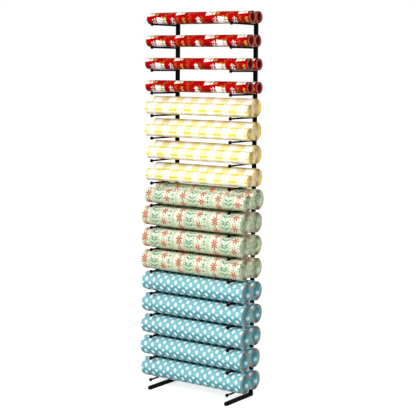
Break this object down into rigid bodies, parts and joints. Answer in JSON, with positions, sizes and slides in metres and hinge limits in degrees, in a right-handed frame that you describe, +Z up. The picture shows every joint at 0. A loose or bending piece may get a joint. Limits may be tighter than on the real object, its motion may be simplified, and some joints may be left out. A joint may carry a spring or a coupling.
{
  "type": "gift wrap organizer",
  "caption": "Free-standing black steel rack whose uprights carry tiers of ball-ended arms, with rolls of gift wrap lying side by side across each tier",
  "frame": {"origin": "middle of the base of everything that is modelled, on the floor", "axes": "+Z up, the arms and the feet point to -Y, and the rolls lie along X with +X on the right seen from the front"},
  "size_m": [0.5848, 0.2084, 1.7003],
  "materials": {
    "black_coat": "black powder coat, satin",
    "black_plastic": "moulded black plastic, matte",
    "black_fastener": "black oxide steel, satin",
    "red_paper": "printed gift wrap, light sheen",
    "yellow_paper": "printed gift wrap, yellow and white checks",
    "green_paper": "printed gift wrap, rows of small motifs on cream",
    "blue_paper": "printed gift wrap, white dots on aqua"
  },
  "bodies": {
    "rack": {"upright_left_lower": "black_coat", "upright_left_upper": "black_coat", "joining_sleeve_left": "black_coat", "top_cap_left": "black_plastic", "foot_left": "black_coat", "foot_cap_left": "black_plastic", "foot_plug_left": "black_plastic", "foot_screw_left": "black_fastener", "bar_bolt_left_top": "black_fastener", "bar_bolt_left_bottom": "black_fastener", "upright_right_lower": "black_coat", "upright_right_upper": "black_coat", "joining_sleeve_right": "black_coat", "top_cap_right": "black_plastic", "foot_right": "black_coat", "foot_cap_right": "black_plastic", "foot_plug_right": "black_plastic", "foot_screw_right": "black_fastener", "bar_bolt_right_top": "black_fastener", "bar_bolt_right_bottom": "black_fastener", "cross_bar_top": "black_coat", "cross_bar_bottom": "black_coat"},
    "roll_01_back": {"roll_01_back": "red_paper"},
    "roll_01_front": {"roll_01_front": "red_paper"},
    "roll_02_back": {"roll_02_back": "red_paper"},
    "roll_02_front": {"roll_02_front": "red_paper"},
    "roll_03_back": {"roll_03_back": "red_paper"},
    "roll_03_front": {"roll_03_front": "red_paper"},
    "roll_04_back": {"roll_04_back": "red_paper"},
    "roll_04_front": {"roll_04_front": "red_paper"},
    "roll_05_back": {"roll_05_back": "yellow_paper"},
    "roll_05_front": {"roll_05_front": "yellow_paper"},
    "roll_06_back": {"roll_06_back": "yellow_paper"},
    "roll_06_front": {"roll_06_front": "yellow_paper"},
    "roll_07_back": {"roll_07_back": "yellow_paper"},
    "roll_07_front": {"roll_07_front": "yellow_paper"},
    "roll_08_back": {"roll_08_back": "yellow_paper"},
    "roll_08_front": {"roll_08_front": "yellow_paper"},
    "roll_09_back": {"roll_09_back": "green_paper"},
    "roll_09_front": {"roll_09_front": "green_paper"},
    "roll_10_back": {"roll_10_back": "green_paper"},
    "roll_10_front": {"roll_10_front": "green_paper"},
    "roll_11_back": {"roll_11_back": "green_paper"},
    "roll_11_front": {"roll_11_front": "green_paper"},
    "roll_12_back": {"roll_12_back": "green_paper"},
    "roll_12_front": {"roll_12_front": "green_paper"},
    "roll_13_back": {"roll_13_back": "blue_paper"},
    "roll_13_front": {"roll_13_front": "blue_paper"},
    "roll_14_back": {"roll_14_back": "blue_paper"},
    "roll_14_front": {"roll_14_front": "blue_paper"},
    "roll_15_back": {"roll_15_back": "blue_paper"},
    "roll_15_front": {"roll_15_front": "blue_paper"},
    "roll_16_back": {"roll_16_back": "blue_paper"},
    "roll_16_front": {"roll_16_front": "blue_paper"},
    "roll_17_back": {"roll_17_back": "blue_paper"},
    "roll_17_front": {"roll_17_front": "blue_paper"}
  },
  "joints": [
    {"name": "roll_01_back_slide", "type": "slide", "parent": "rack", "child": "roll_01_back", "axis": [1, 0, 0], "range_m": [0, 0.6]},
    {"name": "roll_01_front_slide", "type": "slide", "parent": "rack", "child": "roll_01_front", "axis": [1, 0, 0], "range_m": [0, 0.6]},
    {"name": "roll_02_back_slide", "type": "slide", "parent": "rack", "child": "roll_02_back", "axis": [1, 0, 0], "range_m": [0, 0.6]},
    {"name": "roll_02_front_slide", "type": "slide", "parent": "rack", "child": "roll_02_front", "axis": [1, 0, 0], "range_m": [0, 0.6]},
    {"name": "roll_03_back_slide", "type": "slide", "parent": "rack", "child": "roll_03_back", "axis": [1, 0, 0], "range_m": [0, 0.6]},
    {"name": "roll_03_front_slide", "type": "slide", "parent": "rack", "child": "roll_03_front", "axis": [1, 0, 0], "range_m": [0, 0.6]},
    {"name": "roll_04_back_slide", "type": "slide", "parent": "rack", "child": "roll_04_back", "axis": [1, 0, 0], "range_m": [0, 0.6]},
    {"name": "roll_04_front_slide", "type": "slide", "parent": "rack", "child": "roll_04_front", "axis": [1, 0, 0], "range_m": [0, 0.6]},
    {"name": "roll_05_back_slide", "type": "slide", "parent": "rack", "child": "roll_05_back", "axis": [1, 0, 0], "range_m": [0, 0.6]},
    {"name": "roll_05_front_slide", "type": "slide", "parent": "rack", "child": "roll_05_front", "axis": [1, 0, 0], "range_m": [0, 0.6]},
    {"name": "roll_06_back_slide", "type": "slide", "parent": "rack", "child": "roll_06_back", "axis": [1, 0, 0], "range_m": [0, 0.6]},
    {"name": "roll_06_front_slide", "type": "slide", "parent": "rack", "child": "roll_06_front", "axis": [1, 0, 0], "range_m": [0, 0.6]},
    {"name": "roll_07_back_slide", "type": "slide", "parent": "rack", "child": "roll_07_back", "axis": [1, 0, 0], "range_m": [0, 0.6]},
    {"name": "roll_07_front_slide", "type": "slide", "parent": "rack", "child": "roll_07_front", "axis": [1, 0, 0], "range_m": [0, 0.6]},
    {"name": "roll_08_back_slide", "type": "slide", "parent": "rack", "child": "roll_08_back", "axis": [1, 0, 0], "range_m": [0, 0.6]},
    {"name": "roll_08_front_slide", "type": "slide", "parent": "rack", "child": "roll_08_front", "axis": [1, 0, 0], "range_m": [0, 0.6]},
    {"name": "roll_09_back_slide", "type": "slide", "parent": "rack", "child": "roll_09_back", "axis": [1, 0, 0], "range_m": [0, 0.6]},
    {"name": "roll_09_front_slide", "type": "slide", "parent": "rack", "child": "roll_09_front", "axis": [1, 0, 0], "range_m": [0, 0.6]},
    {"name": "roll_10_back_slide", "type": "slide", "parent": "rack", "child": "roll_10_back", "axis": [1, 0, 0], "range_m": [0, 0.6]},
    {"name": "roll_10_front_slide", "type": "slide", "parent": "rack", "child": "roll_10_front", "axis": [1, 0, 0], "range_m": [0, 0.6]},
    {"name": "roll_11_back_slide", "type": "slide", "parent": "rack", "child": "roll_11_back", "axis": [1, 0, 0], "range_m": [0, 0.6]},
    {"name": "roll_11_front_slide", "type": "slide", "parent": "rack", "child": "roll_11_front", "axis": [1, 0, 0], "range_m": [0, 0.6]},
    {"name": "roll_12_back_slide", "type": "slide", "parent": "rack", "child": "roll_12_back", "axis": [1, 0, 0], "range_m": [0, 0.6]},
    {"name": "roll_12_front_slide", "type": "slide", "parent": "rack", "child": "roll_12_front", "axis": [1, 0, 0], "range_m": [0, 0.6]},
    {"name": "roll_13_back_slide", "type": "slide", "parent": "rack", "child": "roll_13_back", "axis": [1, 0, 0], "range_m": [0, 0.6]},
    {"name": "roll_13_front_slide", "type": "slide", "parent": "rack", "child": "roll_13_front", "axis": [1, 0, 0], "range_m": [0, 0.6]},
    {"name": "roll_14_back_slide", "type": "slide", "parent": "rack", "child": "roll_14_back", "axis": [1, 0, 0], "range_m": [0, 0.6]},
    {"name": "roll_14_front_slide", "type": "slide", "parent": "rack", "child": "roll_14_front", "axis": [1, 0, 0], "range_m": [0, 0.6]},
    {"name": "roll_15_back_slide", "type": "slide", "parent": "rack", "child": "roll_15_back", "axis": [1, 0, 0], "range_m": [0, 0.6]},
    {"name": "roll_15_front_slide", "type": "slide", "parent": "rack", "child": "roll_15_front", "axis": [1, 0, 0], "range_m": [0, 0.6]},
    {"name": "roll_16_back_slide", "type": "slide", "parent": "rack", "child": "roll_16_back", "axis": [1, 0, 0], "range_m": [0, 0.6]},
    {"name": "roll_16_front_slide", "type": "slide", "parent": "rack", "child": "roll_16_front", "axis": [1, 0, 0], "range_m": [0, 0.6]},
    {"name": "roll_17_back_slide", "type": "slide", "parent": "rack", "child": "roll_17_back", "axis": [1, 0, 0], "range_m": [0, 0.6]},
    {"name": "roll_17_front_slide", "type": "slide", "parent": "rack", "child": "roll_17_front", "axis": [1, 0, 0], "range_m": [0, 0.6]}
  ]
}
